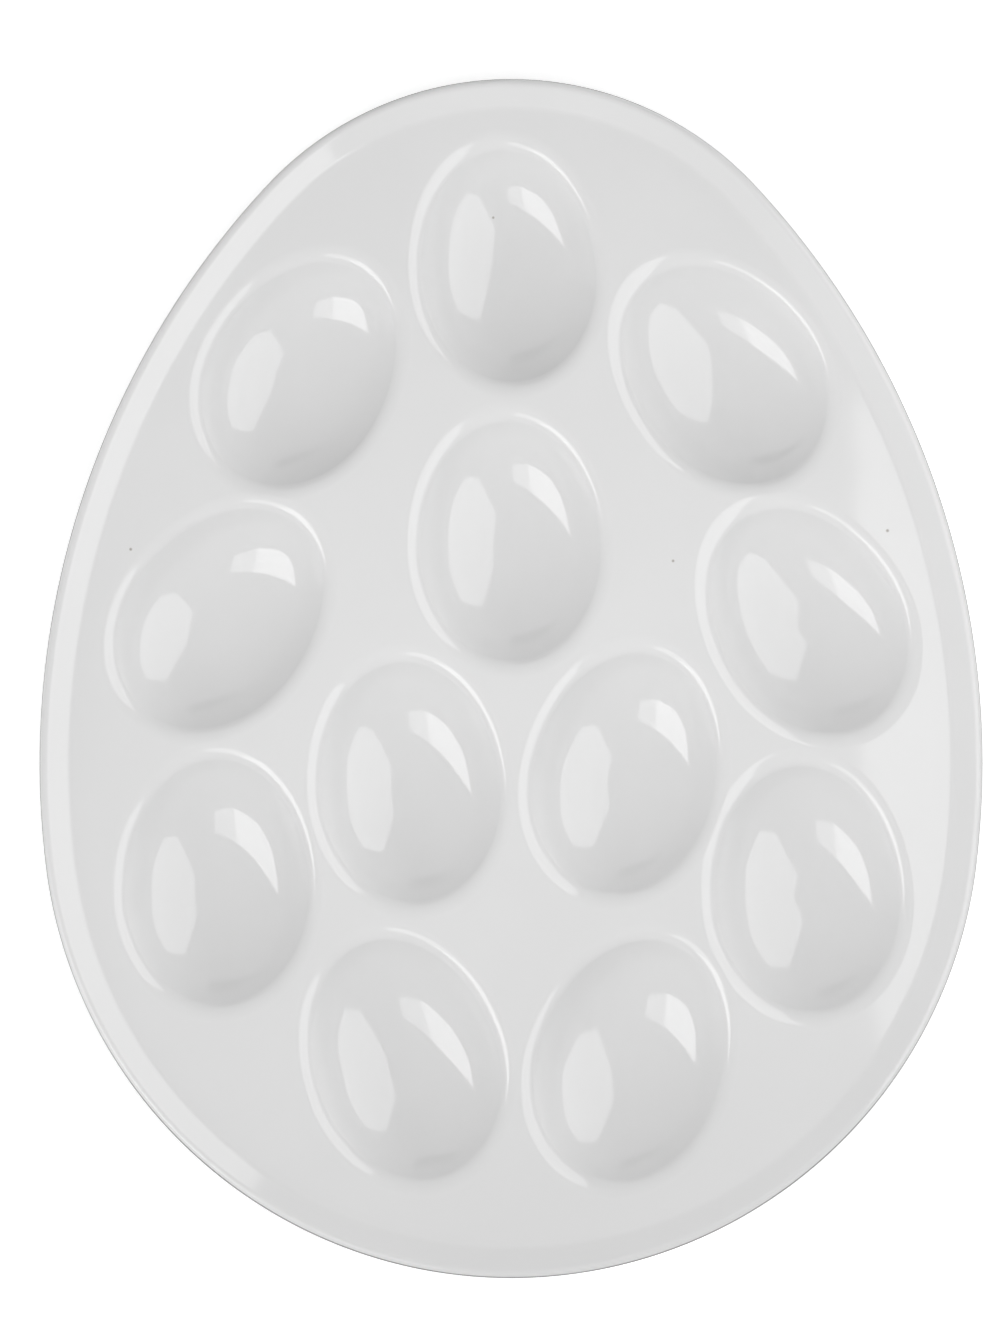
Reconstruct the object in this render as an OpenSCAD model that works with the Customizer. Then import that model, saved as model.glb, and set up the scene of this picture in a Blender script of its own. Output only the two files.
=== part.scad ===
// Egg-shaped ceramic platter with twelve wells for halved eggs.
// One piece of fired, glazed clay: its deck, rim, wells and dry feet meet face to face.

/* [Wells] */
// Width of a well across its lip
well_w = 54; // [48:0.5:60]
// Length of a well from its widest line to its narrow end
well_tip = 38; // [34:0.5:42]
// Length of a well from its widest line to its broad end
well_blunt = 33; // [29:0.5:37]
// Depth of a well below the deck
well_depth = 15; // [12:0.5:18]
// Radius of the lip that rolls from the deck into a well
lip_r = 5; // [3:0.25:7]
// Half the width of the flat spot in the bottom of a well
floor_r = 1; // [0.5:0.25:3]
// Least land between two neighbouring wells when they lie straight
well_gap = 1.2; // [0.8:0.1:4]

/* [Deck] */
// Thickness of the fired clay in the deck and the wells
wall = 4; // [3:0.25:5.5]
// Flat land between the outer wells and the rim, at the sides
side_land = 9.8; // [6:0.2:16]
// Flat land between the end well and the rim
end_land = 4.6; // [3:0.2:12]

/* [Rim] */
// Width of the raised rim
rim_w = 8.5; // [7:0.25:11]
// Slope of the rim's inner face, in degrees
rim_slope = 25; // [15:1:35]
// Radius that blends the deck into the rim's slope
rim_blend_r = 4; // [2:0.25:6]
// Radius of the rim's rounded crown
crown_r = 1.8; // [1.2:0.1:2.2]
// Radius of the rim's rounded lower edge
under_r = 3; // [1.5:0.25:3.5]

/* [Feet] */
// Half the width of the unglazed foot under a well
foot_r = 7; // [5:0.5:9]
// Height of a foot
foot_h = 1; // [0.6:0.1:2]
// Ground flat that shows round a foot
foot_margin = 1; // [0.5:0.25:2]
// Radius of a foot's lower edge
foot_edge_r = 0.4; // [0.2:0.1:0.5]

/* [Hidden] */
$fn = 96;

// Each well: how far right and up its widest line's middle lies, in pitches, then how far its narrow end
// leans to the right, in degrees, and its size as a share of the full well
place_shares = [
    [-0.01, 1.495, -5.5, 0.97],
    [-1.03, 1.105, 30, 0.98],
    [1.045, 1.105, -37, 0.98],
    [0, 0.47, -2.5, 0.99],
    [-1.43, 0.19, 39, 0.99],
    [1.445, 0.185, -32, 0.99],
    [-0.485, -0.415, -5.5, 1],
    [0.535, -0.385, 12, 1],
    [-1.42, -0.795, 0, 1.01],
    [1.435, -0.82, -4, 1.01],
    [-0.495, -1.435, -18.5, 1.01],
    [0.56, -1.445, 18, 1.01]
];
pitch_x = well_w + well_gap;
pitch_y = well_tip + well_blunt + well_gap;

// Height of the deck: the bowl, its wall and the foot, less what is ground off for the foot's flat
flat_r = foot_r + foot_margin;
shell_r = bowl_r(1) + wall;
ground_off = shell_r - sqrt(pow(shell_r, 2) - pow(flat_r - floor_r, 2));
deck_z = foot_h + wall + well_depth - ground_off;

// The platter's outline is a four-arc egg round the wells
half_wide = max([for (p = place_shares) abs(p[0])]) * pitch_x + well_w / 2 + side_land + rim_w;
half_long = max([for (p = place_shares) p[1]]) * pitch_y + well_tip + end_land + rim_w;
broad_share = 0.994;
narrow_share = 0.707;
broad_r = broad_share * half_wide;
narrow_r = narrow_share * half_wide;
broad_y = broad_r - half_long;
narrow_y = half_long - narrow_r;
flank_r = flank_radius(broad_r, narrow_r, narrow_y - broad_y, half_wide);
flank_x = flank_r - half_wide;
flank_y = broad_y + flank_rise(broad_r, narrow_r, narrow_y - broad_y, flank_r);
low_turn = atan2(broad_y - flank_y, flank_x);
high_turn = atan2(narrow_y - flank_y, flank_x);

// Cuts run this far past what they cut
over = 1;

// Hairline left between the rim's four arcs, which lets each of them close
seam = 0.02;

// The deck's edges follow the round outlines in this many steps: along a flank or the narrow end, along
// the broad end, and round a well
flank_steps = 24;
broad_steps = 48;
oval_steps = 72;

// How far up from the broad circle's centre the flank arcs are centred
function flank_rise(r1, r2, apart, r3) =
    (pow(r3 - r1, 2) - pow(r3 - r2, 2) + pow(apart, 2)) / (2 * apart);

// Radius of the flank arcs that touch both end circles and give the half width h
function flank_radius(r1, r2, apart, h) =
    let (a = (r2 - r1) / apart,
         b = (pow(apart, 2) + pow(r1, 2) - pow(r2, 2)) / (2 * apart),
         p = a * b - (h - r1),
         c = pow(b, 2) + pow(h, 2) - pow(r1, 2))
    (-p - sqrt(pow(p, 2) - pow(a, 2) * c)) / pow(a, 2);

// A well's own half width, the steepest slope of its wall, and its bowl's radius
function half_w(size) = size * well_w / 2;
function slope(size) = 2 * atan(well_depth / (half_w(size) - floor_r));
function bowl_r(size) = (half_w(size) - floor_r) / sin(slope(size)) - lip_r;

// Turns a section into an egg-shaped ring: the narrow half is stretched one way, the broad half the other
module oval_turn() {
    scale([1, 2 * well_tip / well_w, 1])
        rotate_extrude(angle = 180) children();
    scale([1, 2 * well_blunt / well_w, 1])
        rotate_extrude(angle = 180, start = 180) children();
}

// Puts a well's parts where the well lies
module at_place(p) {
    translate([p[0] * pitch_x, p[1] * pitch_y]) rotate(-p[2]) children();
}

// Sweeps a section, drawn inwards from zero, along one arc of the platter's outline
module sweep_arc(centre, r, from, to) {
    short = asin(seam / (2 * r));
    translate(centre) rotate_extrude(angle = to - from - 2 * short, start = from + short)
        translate([r, 0]) children();
}

// Sweeps a section round the whole outline
module round_outline() {
    sweep_arc([-flank_x, flank_y], flank_r, low_turn, high_turn) children();
    sweep_arc([0, narrow_y], narrow_r, high_turn, 180 - high_turn) children();
    sweep_arc([flank_x, flank_y], flank_r, 180 - high_turn, 180 - low_turn) children();
    sweep_arc([0, broad_y], broad_r, 180 - low_turn, 360 + low_turn) children();
}

// Points along an arc from one turn to another, without the last one
function arc(centre, r, from, to, steps) =
    [for (i = [0:steps - 1]) let (turn = from + (to - from) * i / steps) centre + r * [cos(turn), sin(turn)]];

// The platter's outline, drawn in by the given distance
function outline_points(inset) = concat(
    arc([-flank_x, flank_y], flank_r - inset, low_turn, high_turn, flank_steps),
    arc([0, narrow_y], narrow_r - inset, high_turn, 180 - high_turn, flank_steps),
    arc([flank_x, flank_y], flank_r - inset, 180 - high_turn, 180 - low_turn, flank_steps),
    arc([0, broad_y], broad_r - inset, 180 - low_turn, 360 + low_turn, broad_steps));

// A well's outline, with its straight steps drawn just round the lip so that they never cut into it
function oval_points(size) =
    [for (i = [0:oval_steps - 1])
        let (turn = i * 360 / oval_steps, length = turn < 180 ? well_tip : well_blunt)
        size / cos(180 / oval_steps) * [well_w / 2 * cos(turn), length * sin(turn)]];

// Section of a well's shell from its middle to its lip
module well_section(size) {
    a = half_w(size);
    r = bowl_r(size);
    bowl_c = [floor_r, deck_z - well_depth + r];
    lip_c = [a, deck_z - lip_r];
    difference() {
        union() {
            translate([0, deck_z - wall]) square([a, wall]);
            translate([0, foot_h]) square([floor_r, deck_z - foot_h]);
            intersection() {
                translate(bowl_c) circle(r + wall);
                translate([floor_r, foot_h]) square([a - floor_r, deck_z - foot_h]);
            }
        }
        translate(bowl_c) circle(r);
        translate([0, deck_z - well_depth]) square([floor_r, well_depth + over]);
        // What lies over the lip and the bowl's upper wall
        difference() {
            polygon([lip_c, [a, bowl_c[1] + over], bowl_c]);
            translate(lip_c) circle(lip_r);
        }
    }
}

// Section of a foot
module foot_section() {
    translate([0, foot_edge_r]) square([foot_r, foot_h - foot_edge_r]);
    square([foot_r - foot_edge_r, foot_h]);
    translate([foot_r - foot_edge_r, foot_edge_r]) circle(foot_edge_r);
}

// Section of the rim: a blend up from the deck, a slope, a round crown and a round lower edge
module rim_section() {
    blend_x = rim_blend_r * sin(rim_slope);
    blend_z = rim_blend_r * (1 - cos(rim_slope));
    crown_x = crown_r * (1 + sin(rim_slope));
    crown_top = blend_z + (rim_w - blend_x - crown_x) * tan(rim_slope);
    crown_z = crown_top - crown_r * cos(rim_slope);
    translate([0, deck_z]) {
        difference() {
            polygon([[-rim_w, -wall], [-under_r, -wall], [0, under_r - wall], [0, crown_z],
                [-crown_x, crown_top], [blend_x - rim_w, blend_z], [-rim_w, 0]]);
            translate([-rim_w, rim_blend_r]) circle(rim_blend_r);
        }
        translate([-crown_r, crown_z]) circle(crown_r);
        translate([-under_r, under_r - wall]) circle(under_r);
    }
}

// The flat land between the wells
module deck() {
    color("white")
        translate([0, 0, deck_z - wall]) linear_extrude(wall)
            difference() {
                polygon(outline_points(rim_w));
                for (p = place_shares)
                    at_place(p) polygon(oval_points(p[3]));
            }
}

// The raised rim round the deck
module rim() {
    color("white") round_outline() rim_section();
}

// One well, by its place in the table
module well(index) {
    p = place_shares[index];
    color("white") at_place(p) oval_turn() well_section(p[3]);
}

// The unglazed feet under the wells, on which the platter stands
module dry_feet() {
    color("gainsboro")
        for (p = place_shares)
            at_place(p) oval_turn() foot_section();
}

deck();
rim();
well(0);  // well_top
well(1);  // well_upper_left
well(2);  // well_upper_right
well(3);  // well_centre
well(4);  // well_left
well(5);  // well_right
well(6);  // well_inner_left
well(7);  // well_inner_right
well(8);  // well_lower_left
well(9);  // well_lower_right
well(10);  // well_bottom_left
well(11);  // well_bottom_right
dry_feet();
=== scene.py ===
"""Dresses the deviled egg platter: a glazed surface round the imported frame, bare feet and the stage."""
import math

import bmesh
import bpy
import numpy as np
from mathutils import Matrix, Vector
from mathutils.geometry import delaunay_2d_cdt


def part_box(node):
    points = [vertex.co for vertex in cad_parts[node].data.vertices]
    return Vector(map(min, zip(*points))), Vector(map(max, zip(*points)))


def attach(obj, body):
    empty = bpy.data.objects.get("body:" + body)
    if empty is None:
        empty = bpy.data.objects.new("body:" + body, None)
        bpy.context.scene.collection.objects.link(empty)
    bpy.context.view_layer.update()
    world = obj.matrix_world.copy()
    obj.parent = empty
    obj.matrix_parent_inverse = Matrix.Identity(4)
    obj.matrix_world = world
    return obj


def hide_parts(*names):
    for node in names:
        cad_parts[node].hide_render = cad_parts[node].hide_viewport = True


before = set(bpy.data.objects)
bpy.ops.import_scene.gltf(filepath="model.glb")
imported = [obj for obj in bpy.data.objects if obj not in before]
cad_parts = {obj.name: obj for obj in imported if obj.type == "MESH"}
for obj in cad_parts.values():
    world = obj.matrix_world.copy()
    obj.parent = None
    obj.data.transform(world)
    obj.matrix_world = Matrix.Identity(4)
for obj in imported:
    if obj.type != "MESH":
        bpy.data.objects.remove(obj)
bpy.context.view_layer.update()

bl_info = {
    "name": "Deviled Egg Platter",
    "version": (1, 0, 0),
    "blender": (4, 5, 0),
    "location": "3D View > Sidebar > Egg Platter",
    "description": "Makes a glazed egg platter, its bare feet and a plain stage",
    "category": "Object",
}

BODY = "root"
GLAZE_SLOT = "glaze"
CLAY_SLOT = "bare_clay"

# Each well: the middle of its widest line, how many degrees its narrow end leans right, and its size
WELLS = {
    "well_top": (-0.0006, 0.1074, -5.5, 0.972),
    "well_upper_left": (-0.0572, 0.0791, 30.0, 0.984),
    "well_upper_right": (0.0580, 0.0791, -38.5, 0.992),
    "well_centre": (-0.0002, 0.0341, -2.4, 0.996),
    "well_left": (-0.0786, 0.0142, 39.0, 1.001),
    "well_right": (0.0799, 0.0135, -31.7, 0.992),
    "well_inner_left": (-0.0268, -0.0300, -5.6, 0.999),
    "well_inner_right": (0.0298, -0.0275, 12.9, 1.002),
    "well_lower_left": (-0.0781, -0.0565, 0.1, 1.013),
    "well_lower_right": (0.0787, -0.0583, -4.6, 1.014),
    "well_bottom_left": (-0.0274, -0.1034, -18.9, 1.011),
    "well_bottom_right": (0.0311, -0.1038, 17.9, 1.013),
}
# Outlines of the light panels, as corners in degrees right and up from straight overhead
SOFTBOX = ((11.5, 9.0), (29.0, 41.0), (36.0, 44.0), (56.0, 42.0), (67.0, 22.0), (69.0, 0.0), (67.0, -20.0),
           (53.0, -37.5), (35.0, -35.0), (11.8, -12.0))
STRIP = ((-24.0, -26.2), (-46.0, -17.0), (-68.0, -5.0), (-61.0, -27.0), (-50.0, -38.0), (-24.0, -47.5))
STRIP_END = ((-5.0, -32.0), (-24.0, -26.2), (-24.0, -47.5), (-5.0, -46.0))
FLAG = ((-78.0, 45.0), (-48.0, 60.0), (-20.0, 66.0), (0.0, 72.0), (6.0, 93.0), (-30.0, 90.0), (-66.0, 68.0))
SIDE_CARD = ((-85.0, -12.0), (-61.0, -9.0), (-46.0, -41.0), (-64.0, -57.0))
OVERHEAD = ((-30.0, -1.0), (30.0, -1.0), (30.0, 19.0), (-30.0, 19.0))
# Each panel: its corners, its distance in metres, its strength's name and whether only the glaze shows it
PANELS = {
    "Softbox light": (SOFTBOX, 2.0, "softbox", False),
    "Softbox shine": (SOFTBOX, 0.63, "softbox_shine", True),
    "Strip light": (STRIP, 2.4, "strip", False),
    "Strip shine": (STRIP, 0.8, "strip_shine", True),
    "Strip end shine": (STRIP_END, 0.8, "end_shine", True),
    "Overhead light": (OVERHEAD, 0.3, "overhead", False),
    "Side card light": (SIDE_CARD, 0.26, "side_card", False),
    "Flag shine": (FLAG, 0.9, "flag_shine", True),
}
# The camera's place over the platter, how high the picture reaches, and the level where it reaches that high
EYE_PLACE = (-0.00292, 0.00333)
PICTURE_HEIGHT = 0.3533
PICTURE_LEVEL = 0.02
SENSOR_HEIGHT = 24.0
TABLE_HALF = 3.0
# Steps round a well, the outline and a foot, and along each round of a section
TURN_STEPS = 120
OUTLINE_STEPS = 480
FOOT_STEPS = 64
UPPER_STEPS = 18
LOWER_STEPS = 12
BLEND_STEPS = 8
CROWN_STEPS = 20
UNDER_STEPS = 14
SOLE_STEPS = 6
# End arcs of the outline, as shares of the platter's half width
BROAD_SHARE = 0.994
NARROW_SHARE = 0.707
# How wide a well's outer band is, which gives way to a neighbour, and how its limit is searched
OUTER_BAND = 0.009
LEAST_REACH = 0.6
HALVINGS = 30
WELD = 1e-6
SLOPE_STEP = 2e-5
SHARP_ANGLE = math.radians(50)
# The point of the rim's section where its slope starts from the deck
RIM_FOOT_RING = 1
# Where the glaze's tone changes, and where painted shade lies on upright faces and on the rim's outer
# shoulder, by how upright a face is, or in metres towards the broad end
CLOUD_SWAY = 0.12
EDGE_SLANT = (0.42, 0.2)
SHOULDER_TOP = (0.62, 0.42)
SHOULDER_FOOT = (0.02, 0.14)
SHOULDER_GROWTH = 0.14
BROAD_END = (-0.07, -0.13)
PAINTED_SHADE_SHARE = 0.72
CLOUD_TONE = 0.985
# Heights of the glaze's waves and peel, the depth of a speck's pit, and the clay's grain and grog, in metres
WAVE, PEEL, PIT = 0.00006, 0.0000006, 0.00003
GRAIN, GROG = 0.00006, 0.00008
# Specks: one cell in five has one, from its dark core out to its least reach and the spread over it
SPECK_CHANCE, SPECK_CORE, SPECK_REACH, SPECK_SPREAD = 0.8, 0.003, 0.005, 0.009
SOLE_RUB = 0.0003


# Sizes and colours

def length(name, words, default):
    """A size in metres."""
    return bpy.props.FloatProperty(name=name, description=words, default=default, min=0.0, precision=5,
                                   unit="LENGTH")


def share(name, words, default, top=1.0):
    """A plain number from zero."""
    return bpy.props.FloatProperty(name=name, description=words, default=default, min=0.0, max=top)


def colour(name, words, default):
    """A colour without alpha."""
    return bpy.props.FloatVectorProperty(name=name, description=words, default=default, size=3,
                                         subtype="COLOR", min=0.0, max=1.0)


def angle(name, words, degrees):
    """An angle, given in degrees."""
    return bpy.props.FloatProperty(name=name, description=words, default=math.radians(degrees),
                                   subtype="ANGLE")


class PlatterShape(bpy.types.PropertyGroup):
    """Sizes of the platter."""
    well_half: length("Well half width", "From a well's middle to the start of its lip", 0.02797)
    well_tip: length("Well narrow half", "From a well's widest line to its narrow end", 0.03996)
    well_blunt: length("Well broad half", "From a well's widest line to its broad end", 0.03429)
    well_floor: length("Well floor", "Half the width of the flat spot in a well", 0.00197)
    well_depth: length("Well depth", "Depth of a well below the deck", 0.015)
    lip: length("Lip radius", "Radius of the lip that rolls into a well", 0.0047)
    under_blend: length("Underside blend", "Radius that blends a well's dome into the underside", 0.0016)
    land: length("Land", "Flat strip that a well or the rim keeps of the deck", 0.0004)
    ridge: length("Ridge rounding", "How far the ridge between two touching lips is rounded off", 0.0004)
    wall: length("Wall", "Thickness of the fired clay", 0.004)
    deck_z: length("Deck height", "Height of the deck over the table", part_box("deck")[1][2])
    rim_width: length("Rim width", "Width of the raised rim", 0.0085)
    rim_blend: length("Rim blend", "Radius between the deck and the rim's slope", 0.004)
    rim_slope: angle("Rim slope", "Slope of the rim's inner face", 25)
    crown: length("Crown radius", "Radius of the rim's crown", 0.0018)
    under_edge: length("Lower edge radius", "Radius of the rim's lower edge", 0.003)
    half_wide: length("Half width", "Half the platter's width", 0.125064)
    half_long: length("Half length", "Half the platter's length", 0.159039)
    foot_half: length("Foot half width", "Half the width of a bare foot", 0.007)
    foot_height: length("Foot height", "Height of a bare foot", 0.001)
    foot_edge: length("Foot edge radius", "Radius of a foot's edge", 0.0004)


class PlatterFinish(bpy.types.PropertyGroup):
    """Colours and surface of the platter."""
    glaze: colour("Glaze", "Colour of the glaze", (0.76, 0.76, 0.76))
    # Painted shade: this dark colour stands in for the shade on the rim's outer shoulder, and is stronger
    # towards the broad end
    painted_shoulder_shade: colour("Painted shoulder shade", "Colour of the glaze on the rim's outer shoulder", (0.19, 0.19, 0.185))
    # Painted shade: this colour darkens faces that stand nearly upright, such as the rim's outer wall
    painted_edge_shade: colour("Painted edge shade", "Colour of the glaze on the rim's upright edge", (0.64, 0.64, 0.63))
    speck: colour("Speck", "Colour of a fired speck under the glaze", (0.3, 0.27, 0.23))
    clay: colour("Bare clay", "Colour of the unglazed feet", (0.62, 0.57, 0.49))
    clay_dark: colour("Clay grain", "Colour of the darker grain in the bare clay", (0.42, 0.37, 0.3))
    clay_rubbed: colour("Rubbed clay", "Colour of the sole where it is rubbed", (0.33, 0.31, 0.28))
    paper: colour("Paper", "Colour of the table", (0.9, 0.9, 0.9))
    paper_grain: colour("Paper grain", "Colour of the paler grain in the table", (0.94, 0.94, 0.94))
    glaze_rough: share("Glaze roughness", "Roughness of the glaze", 0.055)
    clay_rough: share("Clay roughness", "Roughness of the bare clay", 0.85)


class PlatterStage(bpy.types.PropertyGroup):
    """Camera and lamps."""
    eye_height: length("Eye height", "Height of the camera over the table", 1.12)
    ceiling: share("Ceiling light", "Strength of the room's light from overhead", 0.05, 4.0)
    sides: share("Side light", "How much stronger the room's light is from its two bright sides", 1.62, 4.0)
    side_turn: angle("Side turn", "Turn of the bright sides from left and right", 25)
    lean: share("Light lean", "How much dimmer the room is behind the platter's narrow end", 0.13)
    softbox: share("Softbox light", "Light that the softbox on the right casts", 1.5, 20.0)
    softbox_shine: share("Softbox shine", "Brightness of the softbox in the glaze", 3.1, 20.0)
    strip: share("Strip light", "Light that the strip at the lower left casts", 3.3, 20.0)
    overhead: share("Overhead light", "Light that the small panel over the deck casts", 1.9, 20.0)
    side_card: share("Side card light", "Light that the white card beside the platter casts", 1.25, 20.0)
    strip_shine: share("Strip shine", "Brightness of the strip in the glaze", 4.9, 20.0)
    end_shine: share("Strip end shine", "Brightness of the strip's dim end in the glaze", 3.0, 20.0)
    flag_shine: share("Flag shine", "Brightness of the black card in the glaze", 0.05)
    paper_glow: share("Paper glow", "How much brighter the table looks to the camera", 0.45)


# Node trees

class Wire:
    """A node's socket in plain arithmetic: each operator adds its Math node."""

    def __init__(self, maker, socket):
        self.maker = maker
        self.socket = socket

    def other(self, key):
        """Another output of the same node."""
        return Wire(self.maker, self.socket.node.outputs[key])

    def __add__(self, value):
        return self.maker.math("ADD", self, value)

    def __radd__(self, value):
        return self.maker.math("ADD", value, self)

    def __sub__(self, value):
        return self.maker.math("SUBTRACT", self, value)

    def __rsub__(self, value):
        return self.maker.math("SUBTRACT", value, self)

    def __mul__(self, value):
        return self.maker.math("MULTIPLY", self, value)

    def __rmul__(self, value):
        return self.maker.math("MULTIPLY", value, self)

    def __truediv__(self, value):
        return self.maker.math("DIVIDE", self, value)

    def __rtruediv__(self, value):
        return self.maker.math("DIVIDE", value, self)

    def __gt__(self, value):
        return self.maker.math("GREATER_THAN", self, value)

    def __lt__(self, value):
        return self.maker.math("LESS_THAN", self, value)

    def __neg__(self):
        return self.maker.math("MULTIPLY", self, -1.0)


class NodeMaker:
    """Adds nodes to one tree."""

    def __init__(self, tree):
        self.tree = tree

    def node(self, kind, settings=None, values=None, out=0):
        """Adds a node: its settings are set first, then its sockets' values or links. Gives one output."""
        made = self.tree.nodes.new(kind)
        for key, value in (settings or {}).items():
            setattr(made, key, value)
        for key, value in (values or {}).items():
            self.feed(made.inputs[key], value)
        return Wire(self, made.outputs[out]) if made.outputs else made

    def feed(self, socket, value):
        """Links a wire to a socket, or sets the socket's own value."""
        if isinstance(value, Wire):
            self.tree.links.new(value.socket, socket)
        else:
            socket.default_value = value

    def math(self, operation, *values):
        """A Math node on numbers."""
        return self.node("ShaderNodeMath", {"operation": operation}, dict(enumerate(values)))

    def vector(self, operation, *values):
        """A Vector Math node."""
        return self.node("ShaderNodeVectorMath", {"operation": operation}, dict(enumerate(values)))

    def noise(self, place, scale, detail):
        """Soft noise from 0 to 1."""
        return self.node("ShaderNodeTexNoise", None, {"Vector": place, "Scale": scale, "Detail": detail})

    def axes(self, place):
        """Splits a vector; gives its X, and the others through other."""
        return self.node("ShaderNodeSeparateXYZ", None, {0: place})

    def ramp(self, value, low, high):
        """Goes smoothly from 0 at low to 1 at high."""
        return self.node("ShaderNodeMapRange", {"interpolation_type": "SMOOTHSTEP"},
                         {"Value": value, "From Min": low, "From Max": high})

    def mix(self, amount, first, second):
        """Blends two colours."""
        first, second = ((*tone, 1.0) if isinstance(tone, tuple) else tone for tone in (first, second))
        return self.node("ShaderNodeMix", {"data_type": "RGBA"}, {0: amount, 6: first, 7: second}, out=2)


def shape_tree(name, sockets):
    """A new geometry tree with the given inputs. Gives its maker and a wire for each input."""
    tree = bpy.data.node_groups.new(name, "GeometryNodeTree")
    tree.interface.new_socket(name="Geometry", in_out="INPUT", socket_type="NodeSocketGeometry")
    for label, kind in sockets:
        tree.interface.new_socket(name=label, in_out="INPUT", socket_type="NodeSocket" + kind)
    tree.interface.new_socket(name="Geometry", in_out="OUTPUT", socket_type="NodeSocketGeometry")
    maker = NodeMaker(tree)
    entry = maker.node("NodeGroupInput")
    return maker, {label: entry.other(label) for label in ["Geometry"] + [label for label, _ in sockets]}


def close_tree(maker, geometry, material):
    """Ends a geometry tree: welds seams, makes instances real, smooths, and gives it its material."""
    welded = maker.node("GeometryNodeMergeByDistance", None, {"Geometry": geometry, "Distance": WELD})
    real = maker.node("GeometryNodeRealizeInstances", None, {"Geometry": welded})
    smooth = maker.node("GeometryNodeSetShadeSmooth", None, {"Geometry": real})
    dressed = maker.node("GeometryNodeSetMaterial", None, {"Geometry": smooth, "Material": material})
    maker.node("NodeGroupOutput", None, {"Geometry": dressed})
    return maker.tree


def section_grid(maker, section, steps):
    """A grid of a section's points by the steps round. Gives the grid, the step round and the point."""
    count = maker.node("GeometryNodeAttributeDomainSize", {"component": "MESH"}, {"Geometry": section})
    grid = maker.node("GeometryNodeMeshGrid", None, {"Vertices X": steps + 1.0, "Vertices Y": count})
    index = maker.node("GeometryNodeInputIndex")
    step = maker.math("FLOOR", (index + 0.5) / count)
    ring = index - step * count
    place = maker.node("GeometryNodeInputPosition")
    point = maker.node("GeometryNodeSampleIndex", {"data_type": "FLOAT_VECTOR"},
                       {"Geometry": section, "Value": place, "Index": ring})
    kept = grid
    for label, value in (("step", maker.math("MODULO", step, steps)), ("ring", ring)):
        kept = maker.node("GeometryNodeStoreNamedAttribute", {"data_type": "INT", "domain": "POINT"},
                          {"Geometry": kept, "Name": label, "Value": value})
    return kept, step, maker.axes(point)


def turned_oval_tree():
    """Turns a section into an egg: the narrow half is stretched one way and the broad half the other."""
    maker, given = shape_tree("Turned oval", [
        ("Steps round", "Int"), ("Narrow stretch", "Float"), ("Broad stretch", "Float"), ("Lean", "Float"),
        ("Place", "Vector"), ("Material", "Material")])
    steps = given["Steps round"]
    grid, step, point = section_grid(maker, given["Geometry"], steps)
    turn = step * math.tau / steps
    across = maker.math("SINE", turn)
    narrow = across > 0.0
    stretch = given["Broad stretch"] + narrow * (given["Narrow stretch"] - given["Broad stretch"])
    flat = maker.node("ShaderNodeCombineXYZ", None, {0: point * maker.math("COSINE", turn),
                                                     1: point * across * stretch, 2: point.other(2)})
    leaned = maker.node("ShaderNodeVectorRotate", {"rotation_type": "Z_AXIS"},
                        {"Vector": flat, "Angle": -given["Lean"]})
    placed = maker.node("GeometryNodeSetPosition", None,
                        {"Geometry": grid, "Position": maker.vector("ADD", leaned, given["Place"])})
    return close_tree(maker, placed, given["Material"])


def egg_rim_tree():
    """Sweeps a section, drawn inwards from zero, round an outline of four arcs."""
    maker, given = shape_tree("Egg rim", [
        ("Steps round", "Int"), ("Broad radius", "Float"), ("Broad centre", "Float"),
        ("Narrow radius", "Float"), ("Narrow centre", "Float"), ("Flank radius", "Float"),
        ("Flank centre", "Vector"), ("Low turn", "Float"), ("High turn", "Float"), ("Material", "Material")])
    steps = given["Steps round"]
    grid, step, point = section_grid(maker, given["Geometry"], steps)
    turn = step * math.tau / steps
    right, up = maker.math("COSINE", turn), maker.math("SINE", turn)
    narrow = up > maker.math("SINE", given["High turn"])
    broad = up < maker.math("SINE", given["Low turn"])
    flank = 1.0 - narrow - broad
    side = maker.math("SIGN", right)
    flank_centre = maker.axes(given["Flank centre"])
    radius = (narrow * given["Narrow radius"] + broad * given["Broad radius"]
              + flank * given["Flank radius"] + point)
    middle_y = (narrow * given["Narrow centre"] + broad * given["Broad centre"]
                + flank * flank_centre.other(1))
    spot = maker.node("ShaderNodeCombineXYZ", None, {0: radius * right - flank * side * flank_centre,
                                                     1: radius * up + middle_y, 2: point.other(2)})
    placed = maker.node("GeometryNodeSetPosition", None, {"Geometry": grid, "Position": spot})
    return close_tree(maker, placed, given["Material"])


def feet_tree():
    """Puts a turned foot on each point, leaned as the point says."""
    passed = [("Steps round", "Int"), ("Narrow stretch", "Float"), ("Broad stretch", "Float"),
              ("Material", "Material")]
    maker, given = shape_tree("Feet", [("Foot", "Object"), *passed])
    section = maker.node("GeometryNodeObjectInfo", {"transform_space": "ORIGINAL"},
                         {"Object": given["Foot"]}, out="Geometry")
    oval = maker.node("GeometryNodeGroup", {"node_tree": turned_oval_tree()},
                      {"Geometry": section, **{key: given[key] for key, _ in passed}})
    lean = maker.node("GeometryNodeInputNamedAttribute", {"data_type": "FLOAT"}, {"Name": "lean"})
    turned = maker.node("ShaderNodeCombineXYZ", None, {2: -lean})
    placed = maker.node("GeometryNodeInstanceOnPoints", None,
                        {"Points": given["Geometry"], "Instance": oval, "Rotation": turned})
    return close_tree(maker, placed, given["Material"])


# The platter's surface

def arc(centre, radius, first, last, steps):
    """Points of an arc between two turns in degrees, with both ends."""
    turns = np.radians(np.linspace(first, last, steps + 1))
    return [(centre[0] + radius * math.cos(t), centre[1] + radius * math.sin(t)) for t in turns]


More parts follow.
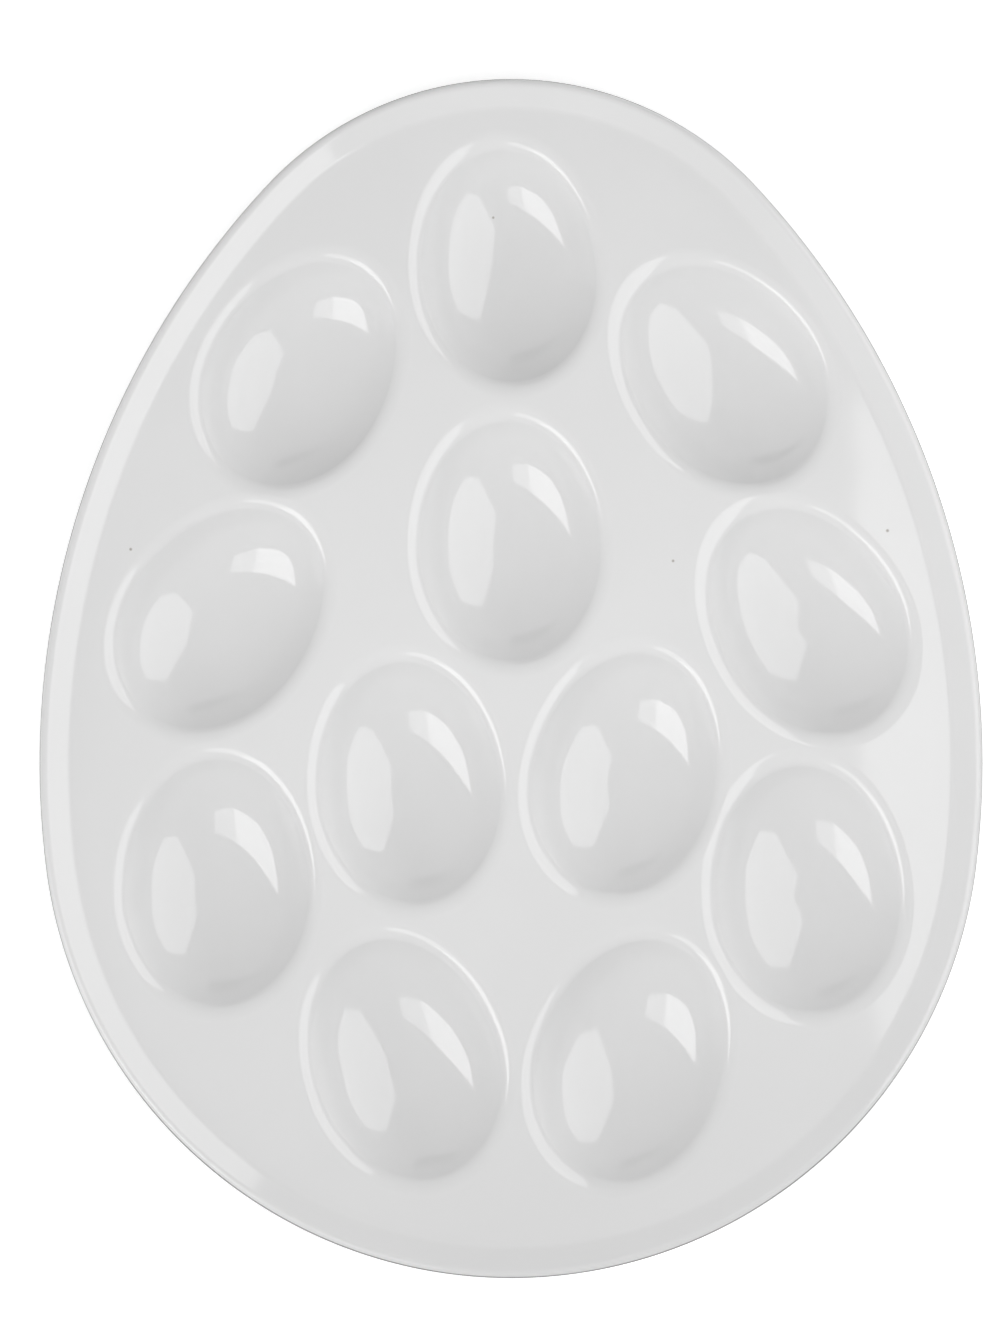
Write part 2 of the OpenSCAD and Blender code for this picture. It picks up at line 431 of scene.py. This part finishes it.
def well_numbers(shape, size, under):
    """Half width, floor, bowl radius and lip radius of a well's upper or lower face."""
    slope = 2 * math.atan(shape.well_depth / (shape.well_half * size - shape.well_floor))
    bowl = (shape.well_half * size - shape.well_floor) / math.sin(slope) - shape.lip
    lip = shape.lip
    if under:
        bowl, lip = bowl + shape.wall, shape.under_blend
        slope = math.acos(1 - shape.well_depth / (bowl + lip))
    return shape.well_floor + (bowl + lip) * math.sin(slope), shape.well_floor, bowl, lip


def well_drop(reach, shape, size, under):
    """How far a well's face lies below the deck's at a distance from its middle."""
    half, floor, bowl, lip = well_numbers(shape, size, under)
    turn_in = floor + (half - floor) * bowl / (bowl + lip)
    in_bowl = shape.well_depth - bowl + np.sqrt(np.maximum(bowl ** 2 - np.maximum(reach - floor, 0) ** 2, 0))
    in_lip = lip - np.sqrt(np.maximum(lip ** 2 - np.minimum(half - reach, lip) ** 2, 0))
    return np.where(reach >= half, 0.0, np.where(reach > turn_in, in_lip, in_bowl))


def well_reach(spots, shape, name):
    """Distance of points from a well's middle, measured as in its section."""
    x, y, lean, _ = WELLS[name]
    c, s = math.cos(math.radians(lean)), math.sin(math.radians(lean))
    dx, dy = spots[..., 0] - x, spots[..., 1] - y
    along = dx * s + dy * c
    stretch = np.where(along > 0, shape.well_tip, shape.well_blunt) / shape.well_half
    return np.hypot(dx * c - dy * s, along / stretch)


def face_height(spots, shape, under=False):
    """Height of the deck's and wells' upper face, or of their lower face, over points in plan."""
    total = np.zeros(spots.shape[:-1])
    for name, (_, _, _, size) in WELLS.items():
        drop = well_drop(well_reach(spots, shape, name), shape, size, under)
        lower, upper = np.minimum(total, drop), np.maximum(total, drop)
        soft = np.minimum(shape.ridge, 2 * lower) + np.finfo(float).tiny
        total = upper + np.maximum(soft - (upper - lower), 0) ** 2 / (4 * soft)
    if under:
        return np.maximum(shape.deck_z - shape.wall - total, shape.foot_height)
    return shape.deck_z - total


def face_normals(spots, shape, under=False):
    """Outward normals of the upper or lower face over points in plan."""
    ways = np.array([(1, 0), (-1, 0), (0, 1), (0, -1)]) * SLOPE_STEP
    sides = [face_height(spots + way, shape, under) for way in ways]
    slope_x, slope_y = (sides[0] - sides[1]) / (2 * SLOPE_STEP), (sides[2] - sides[3]) / (2 * SLOPE_STEP)
    normals = np.stack([-slope_x, -slope_y, np.ones_like(slope_x)], axis=-1)
    normals /= np.linalg.norm(normals, axis=-1, keepdims=True)
    return -normals if under else normals


def well_turns():
    """The turns at which a well's outline has its points."""
    return np.arange(TURN_STEPS) * math.tau / TURN_STEPS


def well_limits(shape, name):
    """How far a well's face reaches at each turn before its land ends or a neighbour's lip begins."""
    turns = well_turns()
    edge = shape.well_half * WELLS[name][3]
    low, high = np.full(TURN_STEPS, edge * LEAST_REACH), np.full(TURN_STEPS, edge + shape.land)
    clear = high.copy()

    def room(reach):
        """Room left between points at this reach and the nearest neighbour's own side."""
        spots = well_spots(shape, name, reach, turns)
        others = [well_reach(spots, shape, key) - shape.well_half * well[3]
                  for key, well in WELLS.items() if key != name]
        return np.min(others, axis=0) - (reach - edge) - shape.land

    for _ in range(HALVINGS):
        middle = (low + high) / 2
        fits = room(middle) > 0
        low, high = np.where(fits, middle, low), np.where(fits, high, middle)
    return np.where(room(clear) > 0, clear, low)


def well_spots(shape, name, reach, turns):
    """Points in plan at a reach and turn from a well's middle."""
    x, y, lean, _ = WELLS[name]
    c, s = math.cos(math.radians(lean)), math.sin(math.radians(lean))
    stretch = np.where(np.sin(turns) > 0, shape.well_tip, shape.well_blunt) / shape.well_half
    side, along = reach * np.cos(turns), reach * np.sin(turns) * stretch
    return np.stack([x + side * c + along * s, y - side * s + along * c], axis=-1)


def well_section(shape, size):
    """Sections of a well's upper and lower face, from its middle out to its edge."""
    def face(under, steps):
        half, floor, bowl, lip = well_numbers(shape, size, under)
        slope = math.acos(1 - shape.well_depth / (bowl + lip))
        return [0.0] + [floor + bowl * math.sin(slope * i / steps) for i in range(steps + 1)] + [
            half - lip * math.sin(slope * i / steps) for i in range(steps - 1, -1, -1)]
    edge = shape.well_half * size + shape.land
    upper = np.array([d for d in face(False, UPPER_STEPS) if d < edge] + [edge])
    lower = np.array([d for d in face(True, LOWER_STEPS) if d < edge - shape.land / 2] + [edge])
    top = shape.deck_z - well_drop(upper, shape, size, False)
    bottom = shape.deck_z - shape.wall - well_drop(lower, shape, size, True)
    return list(zip(upper, top)), list(zip(lower, bottom))


def rim_section(shape):
    """Section of the rim, drawn inwards from zero, up from the deck's lower face and round to it again."""
    degrees = math.degrees(shape.rim_slope)
    rise, level = math.sin(shape.rim_slope), math.cos(shape.rim_slope)
    inner = -shape.rim_width - shape.land
    blend = arc((-shape.rim_width, shape.rim_blend), shape.rim_blend, -90, degrees - 90, BLEND_STEPS)
    run = shape.rim_width - shape.rim_blend * rise - shape.crown * (1 + rise)
    crown_top = shape.rim_blend * (1 - level) + run * math.tan(shape.rim_slope)
    crown_z = crown_top - shape.crown * level
    crown = arc((-shape.crown, crown_z), shape.crown, 90 + degrees, 0, CROWN_STEPS)
    edge = arc((-shape.under_edge, shape.under_edge - shape.wall), shape.under_edge, 0, -90, UNDER_STEPS)
    points = [(inner, -shape.wall), (inner, 0.0)] + blend + crown + edge + [(inner, -shape.wall)]
    return [(x, z + shape.deck_z) for x, z in points]


def foot_section(shape):
    """Section of a bare foot, from the middle of its top round to the middle of its sole."""
    half, edge, height = shape.foot_half, shape.foot_edge, shape.foot_height
    sole = arc((half - edge, edge), edge, 0, -90, SOLE_STEPS)
    return [(0.0, height), (half, height)] + sole + [(0.0, 0.0)]


def outline_numbers(shape):
    """Radii, centres and joints of the outline's four arcs; the flanks' radius is a quadratic's root."""
    wide, long = shape.half_wide, shape.half_long
    broad, narrow = BROAD_SHARE * wide, NARROW_SHARE * wide
    apart = 2 * long - broad - narrow
    a, b = (narrow - broad) / apart, (apart ** 2 + broad ** 2 - narrow ** 2) / (2 * apart)
    p, c = a * b - (wide - broad), b ** 2 + wide ** 2 - broad ** 2
    flank = (-p - math.sqrt(p ** 2 - a ** 2 * c)) / a ** 2
    rise = ((flank - broad) ** 2 - (flank - narrow) ** 2 + apart ** 2) / (2 * apart)
    flank_x, flank_y = flank - wide, broad - long + rise
    return {"Broad radius": broad, "Broad centre": broad - long, "Narrow radius": narrow,
            "Narrow centre": long - narrow, "Flank radius": flank, "Flank centre": (flank_x, flank_y, 0.0),
            "Low turn": math.atan2(broad - long - flank_y, flank_x),
            "High turn": math.atan2(long - narrow - flank_y, flank_x)}


# Making pieces

def polyline(name, points):
    """A mesh of points in the XZ plane, for a section."""
    mesh = bpy.data.meshes.new(name)
    mesh.from_pydata([(x, 0.0, z) for x, z in points], [(i, i + 1) for i in range(len(points) - 1)], [])
    return mesh


def grow(name, mesh, tree, inputs):
    """Makes an object from a mesh through a geometry tree, as a plain mesh."""
    made = bpy.data.objects.new(name, mesh)
    bpy.context.scene.collection.objects.link(made)
    growth = made.modifiers.new("Shape", "NODES")
    growth.node_group = tree
    for socket in tree.interface.items_tree:
        if socket.in_out == "INPUT" and socket.name in inputs:
            growth[socket.identifier] = inputs[socket.name]
    result = bpy.data.meshes.new_from_object(made.evaluated_get(bpy.context.evaluated_depsgraph_get()))
    made.modifiers.clear()
    made.data = result
    result.name = name
    bpy.data.meshes.remove(mesh)
    face_outwards(result)
    return made


def face_outwards(mesh):
    """Turns a closed mesh's faces outwards."""
    work = bmesh.new()
    work.from_mesh(mesh)
    bmesh.ops.recalc_face_normals(work, faces=work.faces)
    work.to_mesh(mesh)
    work.free()
    mesh.update()


def shade_by_face(mesh, shape, upper, lower):
    """Gives upper and lower faces the surface's own normals, and leaves the other faces flat."""
    spots = np.array([v.co[:2] for v in mesh.vertices])
    tops, unders = face_normals(spots, shape), face_normals(spots, shape, True)
    normals = np.zeros((len(mesh.loops), 3))
    for face in mesh.polygons:
        kind = upper(face), lower(face)
        face.use_smooth = any(kind)
        if any(kind):
            for loop in face.loop_indices:
                vertex = mesh.loops[loop].vertex_index
                normals[loop] = tops[vertex] if kind[0] else unders[vertex]
    mesh.normals_split_custom_set([tuple(n) for n in normals])


def settle(piece, slot, *nodes):
    """Rides a finished piece on the platter's body in the place of its solids."""
    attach(piece, BODY)
    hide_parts(*nodes)


def finish_material(name, builder):
    """A material by name, built once."""
    if name not in bpy.data.materials:
        made = bpy.data.materials.new(name)
        made.use_nodes = True
        made.node_tree.nodes.clear()
        builder(NodeMaker(made.node_tree), bpy.context.scene.platter_finish)
    return bpy.data.materials[name]


def principled(maker, values):
    """Ends a material in one shader."""
    shader = maker.node("ShaderNodeBsdfPrincipled", None, values)
    maker.node("ShaderNodeOutputMaterial", None, {"Surface": shader})


def glaze_nodes(maker, finish):
    """Clear gloss over white clay: gently wavy, with painted shade on upright faces and on the rim's outer
    shoulder, stronger towards the broad end, and a rare speck.
    """
    place = maker.node("ShaderNodeTexCoord", None, None, out="Object")
    upright = maker.axes(maker.node("ShaderNodeNewGeometry", None, None, out="Normal")).other("Z")
    cloud = maker.noise(place, 22.0, 3.0)
    wave, peel = maker.noise(place, 55.0, 1.0), maker.noise(place, 700.0, 2.0)
    slant = upright + (cloud - 0.5) * CLOUD_SWAY
    # Painted shade: faces that stand nearly upright, such as the rim's outer wall, get the darker edge
    # colour
    edge = maker.ramp(maker.math("ABSOLUTE", slant), *EDGE_SLANT)
    right = maker.axes(place)
    on_rim = right.other("Z") > bpy.context.scene.platter_shape.deck_z
    # Painted shade on the rim's outer shoulder: it reaches further and grows darker towards the broad end
    broad_end = maker.ramp(right.other("Y"), *BROAD_END)
    high, low = (limit + SHOULDER_GROWTH * broad_end for limit in SHOULDER_TOP)
    painted_shade_strength = PAINTED_SHADE_SHARE + (1.0 - PAINTED_SHADE_SHARE) * broad_end
    shoulder = maker.ramp(slant, high, low) * maker.ramp(slant, *SHOULDER_FOOT) * on_rim * painted_shade_strength
    cells = maker.node("ShaderNodeTexVoronoi", {"feature": "F1", "voronoi_dimensions": "2D"},
                       {"Vector": place, "Scale": 20.0})
    draw = maker.node("ShaderNodeSeparateColor", None, {0: cells.other("Color")})
    reach = SPECK_REACH + SPECK_SPREAD * draw.other(1)
    speck = maker.ramp(cells, reach, SPECK_CORE) * (draw > SPECK_CHANCE)
    shade = tuple(CLOUD_TONE * value for value in finish.glaze)
    tone = maker.mix(maker.ramp(cloud, 0.35, 0.65), tuple(finish.glaze), shade)
    # Painted shade on nearly upright faces
    tone = maker.mix(edge, tone, tuple(finish.painted_edge_shade))
    # Painted shade on the rim's outer shoulder
    tone = maker.mix(shoulder, tone, tuple(finish.painted_shoulder_shade))
    tone = maker.mix(speck * 0.75, tone, tuple(finish.speck))
    rough = finish.glaze_rough * (0.8 + 0.4 * peel) + 0.15 * speck
    swell = wave * WAVE + peel * PEEL - speck * PIT
    bump = maker.node("ShaderNodeBump", None, {"Height": swell, "Distance": 1.0, "Strength": 1.0})
    principled(maker, {"Base Color": tone, "Roughness": rough, "Normal": bump, "IOR": 1.5})


def clay_nodes(maker, finish):
    """Bare fired clay: fine grain, darker grog and a rubbed sole."""
    place = maker.node("ShaderNodeTexCoord", None, None, out="Object")
    height = maker.axes(place).other("Z")
    grain, patch = maker.noise(place, 1400.0, 4.0), maker.noise(place, 160.0, 3.0)
    grog = maker.node("ShaderNodeTexVoronoi", {"feature": "F1"}, {"Vector": place, "Scale": 900.0})
    dark = maker.ramp(grog, 0.32, 0.12) * 0.35 + maker.ramp(grain, 0.5, 0.75) * 0.3
    tone = maker.mix(dark, tuple(finish.clay), tuple(finish.clay_dark))
    rubbed = (1.0 - maker.ramp(height, 0.0, SOLE_RUB)) * maker.ramp(patch, 0.4, 0.65)
    tone = maker.mix(rubbed * 0.4, tone, tuple(finish.clay_rubbed))
    bump = maker.node("ShaderNodeBump", None, {"Height": grain * GRAIN - dark * GROG, "Distance": 1.0})
    principled(maker, {"Base Color": tone, "Roughness": finish.clay_rough - rubbed * 0.15, "Normal": bump})


def table_nodes(maker, finish):
    """White paper with a fine grain, a little brighter to the camera."""
    grain = maker.noise(maker.node("ShaderNodeTexCoord", None, None, out="Object"), 900.0, 2.0)
    tone = maker.mix(grain, tuple(finish.paper), tuple(finish.paper_grain))
    seen = maker.node("ShaderNodeLightPath")
    principled(maker, {"Base Color": tone, "Roughness": 0.9,
                       "Emission Color": maker.mix(seen, (0.0, 0.0, 0.0), (1.0, 1.0, 1.0)),
                       "Emission Strength": bpy.context.scene.platter_stage.paper_glow})


def glaze_material():
    return finish_material("White glaze", glaze_nodes)


def clay_material():
    return finish_material("Bare clay", clay_nodes)


# Operators

class EGGPLATTER_OT_wells(bpy.types.Operator):
    """Make the twelve wells, each with its lip, bowl and domed underside"""
    bl_idname = "egg_platter.wells"
    bl_label = "Wells"

    def execute(self, context):
        shape = context.scene.platter_shape
        tree = turned_oval_tree()
        for name, (x, y, lean, size) in WELLS.items():
            top, bottom = well_section(shape, size)
            section = top + bottom[::-1]
            piece = grow(name + "_glazed", polyline(name, section), tree, {
                "Steps round": TURN_STEPS, "Narrow stretch": shape.well_tip / shape.well_half,
                "Broad stretch": shape.well_blunt / shape.well_half, "Lean": math.radians(lean),
                "Place": (x, y, 0.0), "Material": glaze_material()})
            self.meet_neighbours(piece.data, shape, name, section, len(top))
            settle(piece, GLAZE_SLOT, name)
        return {"FINISHED"}

    @staticmethod
    def meet_neighbours(mesh, shape, name, section, top_rings):
        """Draws a well's outer rings in where a neighbour begins, and lays both faces on the surface."""
        count = len(mesh.vertices)
        step, ring = np.zeros(count, dtype=int), np.zeros(count, dtype=int)
        mesh.attributes["step"].data.foreach_get("value", step)
        mesh.attributes["ring"].data.foreach_get("value", ring)
        edge = shape.well_half * WELLS[name][3] + shape.land
        kept = edge - OUTER_BAND
        limit = well_limits(shape, name)[step]
        reach = np.array([d for d, _ in section])[ring]
        reach = np.where(reach > kept, kept + (reach - kept) * (limit - kept) / (edge - kept), reach)
        spots = well_spots(shape, name, reach, well_turns()[step])
        heights = np.where(ring < top_rings, face_height(spots, shape), face_height(spots, shape, True))
        mesh.vertices.foreach_set("co", np.column_stack([spots, heights]).ravel())
        mesh.update()
        shade_by_face(mesh, shape,
                      lambda face: max(ring[v] for v in face.vertices) < top_rings,
                      lambda face: min(ring[v] for v in face.vertices) >= top_rings)


class EGGPLATTER_OT_rim(bpy.types.Operator):
    """Make the raised rim round the platter's egg-shaped outline"""
    bl_idname = "egg_platter.rim"
    bl_label = "Rim"

    def execute(self, context):
        shape = context.scene.platter_shape
        piece = grow("rim_glazed", polyline("rim", rim_section(shape)), egg_rim_tree(),
                     {"Steps round": OUTLINE_STEPS, "Material": glaze_material(), **outline_numbers(shape)})
        piece.data.set_sharp_from_angle(angle=SHARP_ANGLE)
        settle(piece, GLAZE_SLOT, "rim")
        return {"FINISHED"}


class EGGPLATTER_OT_deck(bpy.types.Operator):
    """Make the deck between the wells and the rim; both have to be there"""
    bl_idname = "egg_platter.deck"
    bl_label = "Deck"

    def execute(self, context):
        shape = context.scene.platter_shape
        loops = [well_spots(shape, name, well_limits(shape, name), well_turns()) for name in WELLS]
        rim = bpy.data.objects["rim_glazed"].data
        ring = np.zeros(len(rim.vertices), dtype=int)
        rim.attributes["ring"].data.foreach_get("value", ring)
        edge = [np.array(v.co[:2]) for v, at in zip(rim.vertices, ring) if at == RIM_FOOT_RING]
        loops.append(np.array(sorted(edge, key=lambda spot: math.atan2(spot[1], spot[0]))))
        mesh = self.plate(shape, loops)
        piece = bpy.data.objects.new("deck_glazed", mesh)
        context.scene.collection.objects.link(piece)
        mesh.materials.append(glaze_material())
        settle(piece, GLAZE_SLOT, "deck")
        return {"FINISHED"}

    @staticmethod
    def plate(shape, loops):
        """A closed plate inside the outline loop, which comes last, with the other loops as holes."""
        flat = [Vector(p) for loop in loops for p in loop]
        rings, start = [], 0
        for loop in loops:
            rings.append(list(range(start, start + len(loop))))
            start += len(loop)
        points, _, faces, origins, _, owners = delaunay_2d_cdt(flat, [], rings, 1, WELD)
        if len(points) != len(flat):
            raise RuntimeError("the deck's loops cross or touch")
        back = [source[0] for source in origins]
        outline = len(rings) - 1
        faces = [[back[v] for v in face] for face, owner in zip(faces, owners) if owner == [outline]]
        spots = np.array([tuple(p) for p in flat])
        levels = face_height(spots, shape), face_height(spots, shape, True)
        count = len(flat)
        verts = [(x, y, z) for level in levels for (x, y), z in zip(spots, level)]
        walls = [[start, end, end + count, start + count]
                 for ring in rings for start, end in zip(ring, ring[1:] + ring[:1])]
        mesh = bpy.data.meshes.new("deck_glazed")
        mesh.from_pydata(verts, [], faces + [[v + count for v in face[::-1]] for face in faces] + walls)
        face_outwards(mesh)
        shade_by_face(mesh, shape,
                      lambda face: max(face.vertices) < count, lambda face: min(face.vertices) >= count)
        return mesh


class EGGPLATTER_OT_feet(bpy.types.Operator):
    """Make the bare feet under the wells"""
    bl_idname = "egg_platter.feet"
    bl_label = "Feet"

    def execute(self, context):
        shape = context.scene.platter_shape
        foot = bpy.data.objects.new("foot_section", polyline("foot_section", foot_section(shape)))
        context.scene.collection.objects.link(foot)
        places = bpy.data.meshes.new("feet_places")
        places.from_pydata([(x, y, 0.0) for x, y, _, _ in WELLS.values()], [], [])
        lean = places.attributes.new("lean", "FLOAT", "POINT")
        lean.data.foreach_set("value", [math.radians(well[2]) for well in WELLS.values()])
        piece = grow("dry_feet_bare", places, feet_tree(), {
            "Foot": foot, "Steps round": FOOT_STEPS, "Narrow stretch": shape.well_tip / shape.well_half,
            "Broad stretch": shape.well_blunt / shape.well_half, "Material": clay_material()})
        bpy.data.objects.remove(foot)
        piece.data.set_sharp_from_angle(angle=SHARP_ANGLE)
        settle(piece, CLAY_SLOT, "dry_feet")
        return {"FINISHED"}


class EGGPLATTER_OT_stage(bpy.types.Operator):
    """Make the table, the lamps, the room's light and the camera"""
    bl_idname = "egg_platter.stage"
    bl_label = "Stage"

    def execute(self, context):
        stage = context.scene.platter_stage
        self.table()
        for name, (corners, distance, strength, shine) in PANELS.items():
            self.panel(name, corners, distance, getattr(stage, strength), shine)
        self.room(context.scene, stage)
        self.camera(stage)
        context.scene.view_settings.view_transform = "Standard"
        return {"FINISHED"}

    @staticmethod
    def table():
        """A pale table that keeps the platter's shadow and looks white round it."""
        mesh = bpy.data.meshes.new("table")
        corners = [(x * TABLE_HALF, y * TABLE_HALF, 0) for x, y in ((-1, -1), (1, -1), (1, 1), (-1, 1))]
        mesh.from_pydata(corners, [], [(0, 1, 2, 3)])
        table = bpy.data.objects.new("table", mesh)
        bpy.context.scene.collection.objects.link(table)
        mesh.materials.append(finish_material("Table", table_nodes))

    @staticmethod
    def panel(name, corners, distance, strength, shine):
        """A flat panel that casts light, or that only shows in the glaze."""
        def glow(maker, _):
            light = maker.node("ShaderNodeEmission", None, {"Color": (1, 1, 1, 1), "Strength": strength})
            maker.node("ShaderNodeOutputMaterial", None, {"Surface": light})
        ways = []
        for right, up in corners:
            polar, turn = math.radians(math.hypot(right, up)), math.atan2(up, right)
            across = math.sin(polar)
            ways.append(Vector((across * math.cos(turn), across * math.sin(turn), math.cos(polar))))
        middle = sum(ways, Vector()).normalized()
        mesh = bpy.data.meshes.new(name)
        mesh.from_pydata([way * distance / way.dot(middle) for way in ways], [], [tuple(range(len(ways)))])
        made = bpy.data.objects.new(name, mesh)
        bpy.context.scene.collection.objects.link(made)
        mesh.materials.append(finish_material(name, glow))
        made.visible_camera = made.visible_shadow = False
        made.visible_diffuse, made.visible_glossy = not shine, shine

    @staticmethod
    def room(scene, stage):
        """The room's light, stronger from two sides; the camera and reflections see it plain white."""
        scene.world = bpy.data.worlds.new("Room")
        scene.world.use_nodes = True
        maker = NodeMaker(scene.world.node_tree)
        maker.tree.nodes.clear()
        right = maker.axes(maker.node("ShaderNodeTexCoord", None, None, out="Generated"))
        side = right * math.cos(stage.side_turn) + right.other("Y") * math.sin(stage.side_turn)
        strength = stage.ceiling + side * side * stage.sides - stage.lean * right.other("Y")
        path = maker.node("ShaderNodeLightPath")
        seen = maker.math("MAXIMUM", path, maker.math("MAXIMUM", path.other("Is Glossy Ray"),
                                                      path.other("Is Transmission Ray")))
        light = maker.node("ShaderNodeBackground", None, {"Color": (1, 1, 1, 1), "Strength": strength})
        white = maker.node("ShaderNodeBackground", None, {"Color": (1, 1, 1, 1), "Strength": 1.0})
        both = maker.node("ShaderNodeMixShader", None, {0: seen, 1: light, 2: white})
        maker.node("ShaderNodeOutputWorld", None, {"Surface": both})

    @staticmethod
    def camera(stage):
        """The camera straight over the platter, with the photograph's frame."""
        eye = bpy.data.cameras.new("Camera")
        eye.sensor_fit = "VERTICAL"
        eye.sensor_height = SENSOR_HEIGHT
        eye.lens = SENSOR_HEIGHT * (stage.eye_height - PICTURE_LEVEL) / PICTURE_HEIGHT
        holder = bpy.data.objects.new("Camera", eye)
        holder.location = (*EYE_PLACE, stage.eye_height)
        bpy.context.scene.collection.objects.link(holder)
        bpy.context.scene.camera = holder


class EGGPLATTER_PT_panel(bpy.types.Panel):
    """Lists what makes the platter"""
    bl_idname = "EGGPLATTER_PT_panel"
    bl_label = "Egg Platter"
    bl_space_type = "VIEW_3D"
    bl_region_type = "UI"
    bl_category = "Egg Platter"

    def draw(self, context):
        for maker in OPERATORS:
            self.layout.operator(maker.bl_idname)
        for group in GROUPS:
            box = self.layout.box()
            values = getattr(context.scene, group)
            for key in values.bl_rna.properties.keys():
                if key not in ("rna_type", "name"):
                    box.prop(values, key)


OPERATORS = (EGGPLATTER_OT_stage, EGGPLATTER_OT_wells, EGGPLATTER_OT_rim, EGGPLATTER_OT_deck,
             EGGPLATTER_OT_feet)
GROUPS = {"platter_shape": PlatterShape, "platter_finish": PlatterFinish, "platter_stage": PlatterStage}


def register():
    for kind in (*GROUPS.values(), *OPERATORS, EGGPLATTER_PT_panel):
        bpy.utils.register_class(kind)
    for name, kind in GROUPS.items():
        setattr(bpy.types.Scene, name, bpy.props.PointerProperty(type=kind))


def unregister():
    for name in GROUPS:
        delattr(bpy.types.Scene, name)
    for kind in (EGGPLATTER_PT_panel, *reversed(OPERATORS), *reversed(GROUPS.values())):
        bpy.utils.unregister_class(kind)


def main():
    """Makes the stage and every piece."""
    register()
    for maker in OPERATORS:
        getattr(bpy.ops.egg_platter, maker.bl_idname.split(".")[1])()


if __name__ == "__main__":
    main()
